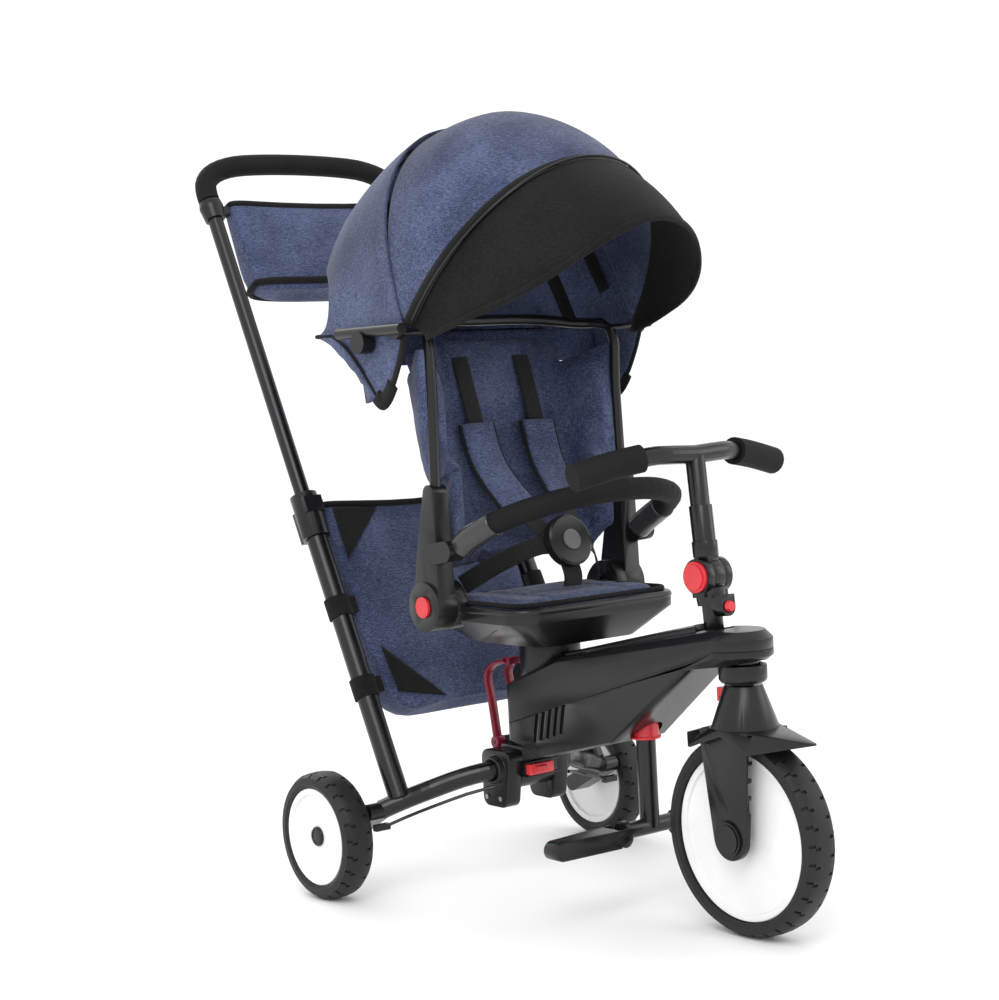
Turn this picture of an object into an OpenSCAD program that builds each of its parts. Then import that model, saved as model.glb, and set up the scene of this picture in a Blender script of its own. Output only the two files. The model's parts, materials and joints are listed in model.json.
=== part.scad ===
// Folding push tricycle for a toddler: three wheels, swivel seat with canopy, push handle and bags.
// Forward is -Y, the rider's left is +X, up is +Z. Millimetres.

/* [Overall] */
// Front axle to rear axle
wheelbase = 532; // [515:1:640]
// Width over the outer faces of the rear wheels
track_w = 506; // [480:1:610]
// Length of each lower push pole, from the axle tube to the clamp
lower_pole_len = 402; // [385:1:482]
// Length of upper pole that shows when the handle is pulled out
upper_pole_len = 476; // [440:1:571]
// Backward lean of the push poles from vertical
pole_lean = 25.9; // [22:0.2:30]
// Distance between the two push poles, centre to centre
pole_gap = 328; // [316:1:350]

/* [Front wheel] */
// Outer radius of the front tyre
front_r = 117; // [97:1:122]
// Width of the front tyre
front_tyre_w = 44; // [36:1:53]
// Radius of the front wheel's disc
front_disc_r = 98; // [81:0.5:100]

/* [Rear wheels] */
// Outer radius of the rear tyres
rear_r = 81.5; // [67.5:0.5:98]
// Width of the rear tyres
rear_tyre_w = 42; // [35:1:51]
// Radius of the rear wheel's disc
rear_disc_r = 62; // [50:0.5:65]

/* [Fork and stem] */
// Free side room between a fork leg and the tyre
fork_room = 2.5; // [2:0.5:6]
// Thickness of a fork leg
fork_leg_t = 9; // [7.5:0.5:14]
// Radius of the front axle pin
axle_r = 5; // [4:0.5:7]
// Backward lean of the stem
stem_lean = 5.5; // [2:0.5:10]
// Radius of the stem tube
stem_r = 11.5; // [10:0.5:14]
// Radius of the fold knuckle
knuckle_r = 21; // [18:0.5:25]
// Half of the handlebar's width over the grips
bar_half = 156; // [130:1:187]

/* [Seat] */
// Radius of the seat's swivel column
column_r = 39; // [34:0.5:46]
// Distance of the swivel axis ahead of the rear axle
seat_fwd = 187; // [175:1:200]
// Height of the seat base's rim above the floor
seat_z = 372; // [366:1:390]
// Half width of the seat base at its rim
seat_half = 132; // [120:1:136]
// Radius of the round hubs at the seat's sides
hub_r = 31; // [26:0.5:36]

/* [Canopy] */
// Half width of the canopy
canopy_half = 192; // [184:1:205]
// Height of the canopy's pivots above the seat's hubs
canopy_rise = 338; // [320:1:360]
// Reach of the visor's lip from the pivots
visor_reach = 292; // [275:1:320]

/* [Fits] */
// Radial clearance between a pin and its bore
fit = 0.05; // [0.02:0.01:0.1]
// Gap between neighbouring parts that move
gap = 0.6; // [0.4:0.1:1.2]

/* [Hidden] */
$fn = 64;

// colours
black = [0.16, 0.16, 0.17];
tyre_black = [0.2, 0.2, 0.21];
metal_black = [0.09, 0.09, 0.1];
red = [0.85, 0.18, 0.2];
claret = [0.5, 0.07, 0.16];
white = [0.93, 0.93, 0.93];
denim = [0.3, 0.34, 0.5];
steel = [0.7, 0.71, 0.73];

// everything is laid out with the rear axle over y = 0, then moved so that its box is centred
pole_x = pole_gap / 2;
pole_foot_y = -68;
pole_foot_z = rear_r + 48;
pole_r = 14;
upper_r = 10.5;
grip_r = 15;
pole_len = lower_pole_len + upper_pole_len;
top_y = pole_foot_y + pole_len * sin(pole_lean);
top_z = pole_foot_z + pole_len * cos(pole_lean);
handle_y = top_y + 28;
handle_z = top_z + 62;
front_end = wheelbase + front_r;
rear_end = handle_y + grip_r;
mid_y = (front_end - rear_end) / 2;

// wheels and rear axle
axle_half = track_w / 2;
wheel_x = axle_half - rear_tyre_w / 2;
wheel_in = axle_half - rear_tyre_w;
stub_r = 6;
hub_y = -126;
hub_z = rear_r + 69;
hub_pin_r = 6;
hub_core_half = 27;
hub_half = 50;
arm_tube_r = 12.5;

// fork, stem and nose
fork_y = -wheelbase;
fork_in = front_tyre_w / 2 + fork_room;
fork_out = fork_in + fork_leg_t;
crown_z = front_r + 129;
crown_top = crown_z + 44;
nose_z = crown_top + 24;
nose_top = nose_z + 39;
nose_r = 42;
steerer_r = 12;
stem_y = fork_y + 43;
knuckle_up = 66;
pod_up = 29;
stem_up = 205;

// footrest
post_y = fork_y + 171;
post_r = 12;
bar_z = 103;
fold_x = 47;
platform_len = 106;

// seat
seat_y = -seat_fwd;
column_top = seat_z - 50;
hub_in = seat_half + 8;
hub_out = hub_in + 30;
arm_y = seat_y + 34;
arm_z = seat_z + 4;
upright_lean = 5;
upright_h = 152;
safety_y = arm_y - 44;
safety_z = arm_z + 70;
canopy_y = arm_y - 13;
canopy_z = arm_z + canopy_rise;

// sweeping a round tube along a smooth path
function unit(v) = v / norm(v);
function spline_point(p, i, t) =
    let(a = p[max(i - 1, 0)], b = p[i], c = p[i + 1], d = p[min(i + 2, len(p) - 1)])
    0.5 * (2 * b + (c - a) * t + (2 * a - 5 * b + 4 * c - d) * t * t
        + (3 * b - a - 3 * c + d) * t * t * t);
function smooth_path(p, steps) = [
    for (i = [0:len(p) - 2]) for (k = [0:steps - 1]) spline_point(p, i, k / steps),
    p[len(p) - 1]];
function path_dir(p, i) = unit(p[min(i + 1, len(p) - 1)] - p[max(i - 1, 0)]);
function ring(p, i, rx, ry, n, up) =
    let(t = path_dir(p, i), s = unit(cross(t, up)), u = cross(s, t))
    [for (k = [0:n - 1]) p[i] + rx * cos(360 * k / n) * s + ry * sin(360 * k / n) * u];
module sweep(p, rx, ry, up = [0, 0, 1], n = 20) {
    last = len(p) - 1;
    points = [for (i = [0:last]) each ring(p, i, rx, ry, n, up)];
    sides = [for (i = [0:last - 1]) for (k = [0:n - 1])
        [i * n + k, i * n + (k + 1) % n, (i + 1) * n + (k + 1) % n, (i + 1) * n + k]];
    first_cap = [[for (k = [0:n - 1]) n - 1 - k]];
    last_cap = [[for (k = [0:n - 1]) last * n + k]];
    polyhedron(points, concat(sides, first_cap, last_cap), convexity = 6);
}
function mirrored(p) = [for (i = [0:len(p) - 1]) [-p[len(p) - 1 - i][0], p[len(p) - 1 - i][1],
    p[len(p) - 1 - i][2]]];
function full_u(p) = concat(mirrored(p), [for (i = [1:len(p) - 1]) p[i]]);

// moves the children from the layout's rear axle to the centred frame
module place() {
    translate([0, mid_y, 0]) children();
}
module both() {
    children();
    mirror([1, 0, 0]) children();
}
// a cylinder along X, from x0 to x1
module bar_x(x0, x1, r) {
    translate([x0, 0, 0]) rotate([0, 90, 0]) cylinder(h = x1 - x0, r = r);
}
// a flat plate with round corners, standing in the YZ plane from x0 to x1
module plate_x(x0, x1, outline, r) {
    translate([x0, 0, 0]) hull() for (p = outline)
        translate([0, p[0], p[1]]) rotate([0, 90, 0]) cylinder(h = x1 - x0, r = r, $fn = 32);
}
// the frame of one push pole: z runs up the pole from its foot on the left side
module on_pole() {
    translate([pole_x, pole_foot_y, pole_foot_z]) rotate([-pole_lean, 0, 0]) children();
}
// the frame of the stem: z runs up the stem from the body's top
module on_stem() {
    translate([0, stem_y, nose_top - 6]) rotate([-stem_lean, 0, 0]) children();
}

// ---- body ----
// side outline of the body's wedge: lower and upper edges from the tail to the nose
tail_y = seat_y + 38;
module wedge(grow, low, high) {
    hull() {
        translate([0, fork_y + 8, low[2]]) cylinder(h = high[2] - low[2] - 9, r = nose_r + grow, $fn = 40);
        translate([0, fork_y + 8, high[2] - 9]) cylinder(h = 9, r1 = nose_r + grow, r2 = nose_r + grow - 9, $fn = 40);
        for (s = [-1, 1]) {
            translate([s * 34, seat_y - 66, low[1]])
                cylinder(h = high[1] - low[1] - 5, r = 12 + grow, $fn = 32);
            translate([s * 32, seat_y - 66, high[1] - 5]) cylinder(h = 5, r = 8 + grow, $fn = 32);
            translate([s * 36, tail_y - 10, low[0]])
                cylinder(h = high[0] - low[0] - 6, r = 12 + grow, $fn = 32);
            translate([s * 33, tail_y - 13, high[0] - 6]) cylinder(h = 6, r = 8 + grow, $fn = 32);
        }
    }
}
seam_tail = hub_z + 66;
seam_mid = seam_tail + 36;
seam_nose = nose_z + 18;
module upper_solid(grow, lift) {
    wedge(grow, [seam_tail + lift, seam_mid + lift, seam_nose + lift],
        [seam_tail + 52, seam_mid + 52, nose_top - grow / 2]);
}
module body_upper_shell() {
    color(black) place() difference() {
        union() {
            upper_solid(0, 0);
            hull() {
                translate([0, stem_y, nose_top - 8]) cylinder(h = 11, r = 22, $fn = 32);
                translate([0, seat_y - column_r - 12, seam_mid + 37]) cylinder(h = 16, r = 15, $fn = 32);
            }
        }
        wedge(-3.5, [seam_tail - 10, seam_mid - 10, seam_nose - 10],
            [seam_tail + 48, seam_mid + 48, nose_top - 4]);
        translate([0, seat_y, seam_tail]) cylinder(h = 120, r = column_r + gap);
        on_stem() translate([0, 0, -60]) cylinder(h = 120, r = stem_r + 12);
    }
}
module body_lower_shell() {
    color(black) place() difference() {
        lower_solid(0, 0.4);
        lower_solid(3.5, -30);
        wedge(0.5, [seam_tail - 0.5, seam_mid - 0.5, seam_nose - 0.5], [seam_tail + 80, seam_mid + 80, nose_top + 20]);
        translate([0, fork_y, nose_z - 26]) cylinder(h = 80, r = 28 + gap / 2);
        translate([-hub_core_half - 1.5, hub_y - 30, hub_z - 60]) cube([2 * hub_core_half + 3, 60, 150]);
        translate([-60, hub_y - 32, hub_z - 60]) cube([120, 64, 62]);
        translate([0, post_y, 100]) cylinder(h = 250, r = post_r + 9);
        for (s = [-1, 1]) for (k = [0:4])
            translate([s * 46, seat_y - 22 - 13 * k, seam_tail - 2 + 4 * k])
                rotate([12, 0, 0]) cube([3, 6, 40], center = true);
    }
}
// belly of the body: inset by t and cut off at the seam, less the gap g
module belly_front(t) {
    for (x = [-24, 24]) translate([x, fork_y + 64, nose_z - 8 + t]) cylinder(h = 30, r = 12 - t, $fn = 32);
}
module lower_solid(t, g) {
    hull() {
        translate([0, fork_y + 8, nose_z + t])
            cylinder(h = 10, r1 = nose_r - 12 - t, r2 = nose_r - t, $fn = 40);
        translate([0, fork_y + 8, nose_z + 10 + t])
            cylinder(h = seam_nose - nose_z - 10 - g - t, r = nose_r - t, $fn = 40);
        belly_front(t);
    }
    hull() {
        belly_front(t);
        for (s = [-1, 1]) {
            translate([s * 34, post_y + 20, seam_mid - 43 + t]) cylinder(h = 44, r = 12 - t, $fn = 32);
            translate([s * 34, seat_y - 30, seam_mid - 74 + t])
                cylinder(h = 74 - g - t, r = 12 - t, $fn = 32);
            translate([s * 36, tail_y - 10, seam_tail - 24 + t])
                cylinder(h = 24 - g - t, r = 12 - t, $fn = 32);
        }
    }
}
module spine_tube() {
    color(metal_black) place() difference() {
        union() {
            translate([0, fork_y, nose_z + 1]) cylinder(h = 29, r = steerer_r + 7);
            on_stem() translate([0, 0, -30]) cylinder(h = 22, r = stem_r + 6);
            hull() {
                translate([0, fork_y + 24, nose_z + 14]) cube([26, 10, 20], center = true);
                translate([0, seat_y - 16, seam_mid - 2]) cube([26, 10, 26], center = true);
            }
            hull() {
                translate([0, seat_y - 16, seam_mid - 2]) cube([26, 10, 26], center = true);
                translate([0, hub_y + 10, hub_z + 38]) cube([26, 10, 24], center = true);
            }
        }
        translate([0, fork_y, nose_z - 10]) cylinder(h = 80, r = steerer_r + fit);
        on_stem() translate([0, 0, -60]) cylinder(h = 90, r = stem_r + fit);
        translate([0, seat_y, seam_mid - 30]) cylinder(h = 120, r = 9 + fit);
        translate([0, post_y, 100]) cylinder(h = 300, r = post_r + fit);
    }
}
module nose_collar() {
    color(black) place() difference() {
        translate([0, fork_y, nose_z - 17]) {
            cylinder(h = 16.6, r = 28);
            translate([0, 0, -4]) cylinder(h = 4, r1 = 25, r2 = 28);
        }
        translate([0, fork_y, nose_z - 30]) cylinder(h = 50, r = steerer_r + fit);
    }
}
module seat_column() {
    color(black) place() difference() {
        union() {
            translate([0, seat_y, seam_mid + 22]) cylinder(h = column_top - seam_mid - 22, r = column_r);
            translate([0, seat_y, seam_mid + 13]) cylinder(h = 8, r = column_r - 4);
        }
        translate([0, seat_y, seam_mid]) cylinder(h = 120, r = 9 + fit);
    }
}
// the fixed block under the body that carries the rear frame's fold pin and the release lever
lever_y = hub_y + 30;
lever_z = hub_z + 30;
module hub_housing() {
    color(black) place() difference() {
        union() {
            translate([0, hub_y, hub_z]) bar_x(-hub_core_half, hub_core_half, 27);
            translate([-hub_core_half, hub_y - 27, hub_z]) cube([2 * hub_core_half, 43, 30]);
            translate([-hub_core_half, hub_y - 30.7, hub_z - 9]) cube([2 * hub_core_half, 8, 20]);
            for (z = [-9, 8.6])
                translate([-hub_core_half, hub_y - 37, hub_z + z]) cube([2 * hub_core_half, 8, 2.4]);
            plate_x(-13.4, 13.4, [[lever_y, lever_z], [hub_y + 14, hub_z + 18]], 7);
            translate([0, lever_y, lever_z]) bar_x(-27, 27, 3);
        }
        translate([0, hub_y, hub_z]) bar_x(-60, 60, hub_pin_r + fit);
    }
}
module hub_pin() {
    color(steel) place() translate([0, hub_y, hub_z]) bar_x(-hub_half + 9, hub_half - 9, hub_pin_r);
}
module cheek_screws() {
    color(steel) place() both() for (p = [[hub_y + 20, hub_z - 36], [hub_y - 8, hub_z - 36]])
        translate([0, p[0], p[1]]) bar_x(hub_half - 4, hub_half + 2, 3.2);
}

// ---- fork, stem and handlebar ----
module fork_crown() {
    color(black) place() difference() {
        union() {
            translate([0, fork_y, crown_z - 6]) cylinder(h = crown_top - crown_z + 6, r1 = 40, r2 = 22);
            translate([0, fork_y, crown_top - 2]) cylinder(h = nose_z - crown_top + 32, r = steerer_r);
        }
        translate([-5, fork_y + 16, crown_z + 6]) cube([10, 40, 50]);
        translate([0, fork_y, crown_z - 10]) cylinder(h = 30, r1 = 34, r2 = 20);
    }
}
module front_fork() {
    color(black) place() difference() {
        union() {
            both() hull() {
                translate([fork_in, fork_y, front_r])
                    rotate([0, 90, 0]) cylinder(h = fork_leg_t, r = 25, $fn = 32);
                translate([fork_in, fork_y - 35, crown_z - 20]) cube([fork_leg_t, 76, 13]);
            }
            translate([-fork_out, fork_y - 34, crown_z - 10]) cube([2 * fork_out, 72, 5.5]);
        }
        translate([0, fork_y, front_r]) bar_x(-60, 60, axle_r + fit);
        both() for (k = [0:4])
            translate([fork_in - 1, fork_y - 50 + 2.2 * k, front_r + 12 + 20 * k])
                cube([fork_leg_t - 2, 22, 15]);
    }
}
// brim over the wheel: four corners hang from a ring round the crown
module fender_half(way, reach, droop, dz) {
    hull() {
        translate([0, fork_y, crown_z - 8 + dz]) cylinder(h = 4, r = 41, $fn = 32);
        translate([0, fork_y + way * reach, crown_z - droop + dz]) cylinder(h = 2, r = 4, $fn = 32);
        both() translate([fork_out + 9, fork_y + way * 46, crown_z - 26 + dz])
            cylinder(h = 2, r = 4, $fn = 32);
    }
}
module front_fender() {
    color(black) place() difference() {
        union() {
            fender_half(-1, 104, 15, 0);
            fender_half(1, 92, 22, 0);
        }
        fender_half(-1, 100, 19, -4);
        fender_half(1, 88, 26, -4);
        translate([-fork_out - 0.4, fork_y - 40, crown_z - 60]) cube([2 * fork_out + 0.8, 84, 53.2]);
        translate([0, fork_y, crown_z - 10]) cylinder(h = 12, r = 38);
    }
}
module fork_hub_caps() {
    color(black) place() both() translate([0, fork_y, front_r]) {
        bar_x(fork_out + 0.1, fork_out + 4, 20);
        bar_x(fork_out + 4, fork_out + 5.5, 17);
    }
}
module front_axle() {
    color(steel) place() translate([0, fork_y, front_r]) bar_x(-fork_out, fork_out, axle_r);
}
module stem_lower() {
    color(metal_black) place() difference() {
        union() {
            on_stem() translate([0, 0, -26]) cylinder(h = knuckle_up + 14, r = stem_r);
            on_stem() translate([0, 0, 32]) cylinder(h = knuckle_up - 46, r1 = 16, r2 = 18);
            on_stem() translate([0, -12, pod_up]) rotate([90, 0, 0]) cylinder(h = 16, r = 11);
            on_stem() translate([-11, -28, pod_up]) cube([22, 20, 14]);
            on_stem() both() translate([9, 0, knuckle_up]) bar_x(0, 10, knuckle_r);
            on_stem() both() translate([9, -10, knuckle_up - 24]) cube([10, 20, 12]);
        }
        on_stem() translate([0, 0, knuckle_up]) bar_x(-60, 60, 7 + fit);
        on_stem() translate([0, 0, knuckle_up]) bar_x(-8.9, 8.9, knuckle_r + gap);
        on_stem() translate([0, 0, knuckle_up]) bar_x(-30, -14, 18 + gap);
        on_stem() translate([0, -16, pod_up]) rotate([90, 0, 0]) cylinder(h = 20, r = 5.5 + fit);
        on_stem() translate([0, -25.4, pod_up]) rotate([90, 0, 0]) cylinder(h = 10, r = 7 + gap);
    }
}
module front_tyre() {
    color(tyre_black) place() translate([0, fork_y, front_r]) rotate([0, 90, 0])
        tyre(front_r, front_disc_r, front_tyre_w);
}
// tyre with a crowned tread, its axis along Z and centred
module tyre(r, ri, w) {
    shoulder = w * 0.2;
    rotate_extrude() polygon([[ri + fit, -w / 2 + 2], [r - 14, -w / 2], [r - 5, -w / 2 + 1.5],
        [r - 1.2, -w / 2 + shoulder], [r, -w * 0.12], [r, w * 0.12], [r - 1.2, w / 2 - shoulder],
        [r - 5, w / 2 - 1.5], [r - 14, w / 2], [ri + fit, w / 2 - 2]]);
}
// dished wheel disc with a hub, its axis along Z and centred
module wheel_disc(r, w, hub, bore, well = 0) {
    rotate_extrude() difference() {
        union() {
            polygon([[0, -w / 2 + 3], [r - 8, -w / 2 + 3], [r - 4, -w / 2 + 2], [r, -w / 2 + 2],
                [r, w / 2 - 2], [r - 4, w / 2 - 2], [r - 8, w / 2 - 3], [0, w / 2 - 3]]);
        }
        translate([0, -w]) square([bore, 2 * w]);
        translate([hub, -w / 2 + 6]) square([r - hub - 8, w - 12]);
        translate([0, w / 2 - well]) square([hub - 2, well + 1]);
    }
}
module front_disc() {
    color(white) place() translate([0, fork_y, front_r]) rotate([0, 90, 0])
        wheel_disc(front_disc_r, front_tyre_w - 8, 14, axle_r + fit);
}
module fork_lock_lever() {
    color(red) place() translate([0, fork_y + 24, crown_z + 12]) {
        translate([-4, 0, 0]) cube([8, 8, 26]);
        translate([-4, 8, 16]) cube([8, 8, 10]);
        translate([-4, 12, 10]) cube([8, 4, 8]);
    }
}
module stem_lock_button() {
    color(red) place() on_stem() {
        translate([0, -20, pod_up]) rotate([90, 0, 0]) cylinder(h = 11, r = 5.5);
        translate([0, -29, pod_up]) rotate([90, 0, 0]) cylinder(h = 4, r1 = 7, r2 = 5.5);
    }
}
module stem_upper() {
    color(metal_black) place() on_stem() difference() {
        union() {
            translate([0, 0, knuckle_up]) bar_x(-8.4, 8.4, knuckle_r);
            translate([-8.4, -12, knuckle_up]) cube([16.8, 24, knuckle_r + 4]);
            translate([0, 0, knuckle_up + knuckle_r + 1.5]) cylinder(h = 18, r = 15);
            translate([0, 0, knuckle_up + 30]) cylinder(h = 52, r = 13.5);
            translate([0, 0, knuckle_up + 60]) cylinder(h = stem_up - knuckle_up - 60, r = stem_r);
        }
        translate([0, 0, knuckle_up]) bar_x(-60, 60, 7 + fit);
    }
}
// centre line of the handlebar in the stem's frame, left half
bar_path = [[0, 0, stem_up + 2], [40, 2, stem_up + 4], [64, 8, stem_up + 4],
    [110, 20, stem_up - 2], [bar_half, 32, stem_up - 11]];
module handlebar() {
    color(metal_black) place() on_stem() sweep(full_u(smooth_path(bar_path, 4)), 11, 11, n = 16);
}
module handlebar_grips() {
    line = smooth_path(bar_path, 4);
    tip = line[16] - line[15];
    outer = concat([for (i = [9:16]) line[i]], [line[16] + tip * (4 / norm(tip))]);
    color(black) place() on_stem() both() difference() {
        sweep(outer, 16.5, 16.5, n = 18);
        sweep(line, 11.5, 11.5, n = 16);
    }
}
module knuckle_button() {
    color(red) place() on_stem() translate([0, 0, knuckle_up]) {
        bar_x(-22, 15, 7);
        bar_x(-23, -18, 18);
        bar_x(-25, -23, 15);
    }
}

// ---- footrest ----
module footrest_post() {
    color(metal_black) place() {
        translate([0, post_y, bar_z]) cylinder(h = nose_z - 12 - bar_z, r = post_r);
        difference() {
            translate([0, post_y, bar_z]) bar_x(-fold_x + 8, fold_x - 8, 10);
            translate([0, post_y, bar_z - 1]) cylinder(h = 40, r = post_r - 1);
        }
        both() plate_x(fold_x - 8, fold_x - 1, [[post_y, bar_z], [post_y, bar_z - 5]], 13);
        both() translate([fold_x - 1, post_y, bar_z - 4]) rotate([90, 0, 0])
            translate([8, 0, 0]) {
                cylinder(h = 36, r = 4, center = true);
                cylinder(h = 27.6, r = 8, center = true);
                translate([-6, 0, 0]) cube([12, 12, 27.6], center = true);
            }
    }
}
module footrest_collar() {
    color(red) place() translate([0, post_y, seam_mid - 42]) difference() {
        union() {
            cylinder(h = 3, r = 19);
            translate([0, 0, 3]) cylinder(h = 24, r1 = 17, r2 = post_r + 3.5);
        }
        translate([0, 0, -1]) cylinder(h = 40, r = post_r + 0.3);
    }
}
module foot_platform() {
    place() translate([fold_x + 7, post_y, bar_z - 4]) difference() {
        union() {
            rotate([90, 0, 0]) cylinder(h = 36, r = 11, center = true);
            hull() {
                translate([6, -17, -11]) cube([10, 34, 22]);
                translate([platform_len - 12, -10, 0]) rotate([90, 0, 0])
                    translate([0, 0, -20]) cylinder(h = 24, r = 11, $fn = 32);
            }
        }
        rotate([90, 0, 0]) translate([0, 0, -30]) cylinder(h = 60, r = 4 + fit);
        translate([-12, -14.4, -14]) cube([20.8, 28.8, 28]);
    }
}
module foot_platform_left() {
    color(black) foot_platform();
}
module foot_platform_right() {
    color(black) mirror([1, 0, 0]) foot_platform();
}

// ---- rear frame ----
axle_path = [[hub_half - 6, hub_y - 2, hub_z + 1], [62, hub_y + 1, hub_z + 1],
    [92, hub_y + 20, hub_z - 6], [125, hub_y + 43, hub_z - 18],
    [pole_x - 3, hub_y + 56, hub_z - 28], [wheel_in - 26, hub_y + 70, hub_z - 38]];
module rear_axle_tube() {
    color(metal_black) place() both() {
        sweep(smooth_path(axle_path, 3), arm_tube_r, arm_tube_r, n = 18);
        difference() {
            union() {
                plate_x(wheel_in - 32, wheel_in - 3, [[hub_y + 68, hub_z - 38], [0, rear_r]], 11);
                translate([wheel_in - 3, 0, rear_r]) bar_x(0, rear_tyre_w - 16, stub_r);
            }
            translate([wheel_in - 24, -20, rear_r + 2]) cube([12, 60, 40]);
        }
    }
}
// blocks at both ends of the housing that turn on the fold pin and hold the axle tubes
module hub_cheeks() {
    color(black) place() both() difference() {
        union() {
            plate_x(hub_core_half + gap, hub_half, [[hub_y - 16, hub_z + 14], [hub_y + 18, hub_z + 14],
                [hub_y + 18, hub_z - 36], [hub_y - 8, hub_z - 36]], 12);
            translate([hub_half - 2, hub_y - 2, hub_z + 1]) bar_x(0, 12, 18);
        }
        translate([0, hub_y, hub_z]) bar_x(0, hub_half - 7, hub_pin_r + fit);
        translate([hub_half - 7, hub_y - 2, hub_z + 1]) bar_x(0, 40, arm_tube_r + 0.6);
    }
}
module lower_poles() {
    color(metal_black) place() both() on_pole() difference() {
        translate([0, 0, -4]) cylinder(h = lower_pole_len + 4, r = pole_r);
        translate([0, 0, 30]) cylinder(h = lower_pole_len, r = upper_r + fit);
    }
}
module pole_clamps() {
    color(black) place() both() on_pole() difference() {
        union() {
            translate([0, 0, lower_pole_len - 40]) cylinder(h = 62, r = 18.5);
            translate([-8, 8, lower_pole_len - 38]) cube([16, 19, 44]);
            translate([-14, -20, lower_pole_len - 8]) cube([28, 12, 22]);
        }
        translate([0, 0, lower_pole_len - 50]) cylinder(h = 50.2, r = pole_r + fit);
        translate([0, 0, lower_pole_len - 50]) cylinder(h = 90, r = upper_r + fit);
        translate([-6, 17, lower_pole_len - 30]) cube([12, 12, 20]);
    }
}
module clamp_button() {
    place() on_pole() translate([-5.5, 20.5, lower_pole_len - 29.5]) cube([11, 10, 19]);
}
module clamp_button_left() {
    color(red) clamp_button();
}
module clamp_button_right() {
    color(red) mirror([1, 0, 0]) clamp_button();
}
// thin rods that run under the axle tubes to the brake stops
rod_drop = 19;
module brake_rods() {
    rod = [for (p = axle_path) p - [0, 11, rod_drop]];
    color(steel) place() both() {
        sweep(smooth_path([for (i = [1:5]) rod[i]], 2), 2.2, 2.2, n = 8);
        translate(rod[5] - [4, 4, 4]) cube([22, 8, 8]);
    }
}
module brake_slider() {
    color(red) place() translate([1 - hub_core_half, hub_y - 40, hub_z - 6]) {
        cube([40, 9, 14]);
        translate([8, -5, 3]) cube([18, 5, 8]);
    }
}
loop_path = [[0, 0, 6], [0, 4, 22], [0, 12, 56], [0, 20, 84], [0, 8, 100], [0, -20, 108]];
module fold_lever() {
    color(claret) place() translate([0, lever_y, lever_z]) {
        both() sweep(smooth_path([for (p = loop_path) p + [22 - p[2] * 0.06, 0, 0]], 3), 3.5, 7,
            up = [1, 0, 0], n = 12);
        translate([-18, -28, 103]) cube([36, 10, 9]);
        difference() {
            both() bar_x(14, 27, 8);
            bar_x(-40, 40, 3 + fit);
        }
    }
}

// ---- storage bag between the lower poles ----
bag_top = lower_pole_len + 8;
module on_pole_plane() {
    translate([0, pole_foot_y, pole_foot_z]) rotate([-pole_lean, 0, 0]) children();
}
// filled shape of the bag: g is taken off all round and the top is raised by lift
module bag_shape(g, lift) {
    half = pole_x - pole_r - 4;
    hull() for (s = [-1, 1]) {
        translate([s * (half - 14), -2, bag_top - 20]) cylinder(h = 20 + lift, r = 12 - g, $fn = 24);
        translate([s * (half - 40), 24, bag_top - 30]) cylinder(h = 30 + lift, r = 16 - g, $fn = 24);
        translate([s * (half - 20), 4, 116]) sphere(r = 18 - g, $fn = 24);
        translate([s * (half - 34), 74, 250]) sphere(r = 34 - g, $fn = 24);
        translate([s * (half - 40), 56, 158]) sphere(r = 34 - g, $fn = 24);
    }
}
module storage_bag() {
    color(denim) place() on_pole_plane() difference() {
        bag_shape(0, 0);
        bag_shape(3, 20);
    }
}
strap_heights = [134, 247];
module bag_straps() {
    color(black) place() both() on_pole() for (h = strap_heights) translate([0, 0, h]) difference() {
        union() {
            cylinder(h = 27, r = pole_r + 3);
            translate([-pole_r - 8, -11, 3]) cube([12, 8, 21]);
        }
        translate([0, 0, -1]) cylinder(h = 40, r = pole_r + fit);
    }
}

// ---- rear wheels ----
module rear_wheel_place(s) {
    translate([s * wheel_x, mid_y, rear_r]) rotate([0, s * 90, 0]) children();
}
module rear_tyre_left() {
    color(tyre_black) rear_wheel_place(1) tyre(rear_r, rear_disc_r, rear_tyre_w);
}
module rear_tyre_right() {
    color(tyre_black) rear_wheel_place(-1) tyre(rear_r, rear_disc_r, rear_tyre_w);
}
module rear_disc_left() {
    color(white) rear_wheel_place(1)
        wheel_disc(rear_disc_r, rear_tyre_w, 19, stub_r + fit, 14);
}
module rear_disc_right() {
    color(white) rear_wheel_place(-1)
        wheel_disc(rear_disc_r, rear_tyre_w, 19, stub_r + fit, 14);
}

// ---- push handle ----
handle_path = [[0, handle_y, handle_z], [52, handle_y - 1, handle_z - 1],
    [105, handle_y - 3, handle_z - 5], [pole_x - 24, handle_y - 6, handle_z - 15],
    [pole_x - 5, handle_y - 12, handle_z - 30], [pole_x, handle_y - 20, handle_z - 46],
    [pole_x, top_y, top_z]];
module upper_poles() {
    color(metal_black) place() {
        both() on_pole() translate([0, 0, lower_pole_len - 60])
            cylinder(h = upper_pole_len + 62, r = upper_r);
        sweep(full_u(smooth_path(handle_path, 3)), upper_r - 0.5, upper_r - 0.5, up = [0, 1, 0.5], n = 14);
    }
}
module pole_collars() {
    color(black) place() both() on_pole() difference() {
        union() {
            translate([0, 0, pole_len - 26]) cylinder(h = 20, r1 = 14, r2 = 17);
            translate([0, 0, pole_len - 6]) cylinder(h = 8, r1 = 17, r2 = 15.5);
            translate([-23, -8, pole_len - 20]) cube([14, 12, 12]);
        }
        translate([0, 0, pole_len - 60]) cylinder(h = 90, r = upper_r + fit);
    }
}
module push_grip() {
    all = smooth_path(handle_path, 3);
    foam = [for (i = [0:17]) all[i]];
    color(black) place() difference() {
        sweep(full_u(foam), grip_r, grip_r, up = [0, 1, 0.5], n = 18);
        sweep(full_u(all), upper_r, upper_r, up = [0, 1, 0.5], n = 14);
    }
}
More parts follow.
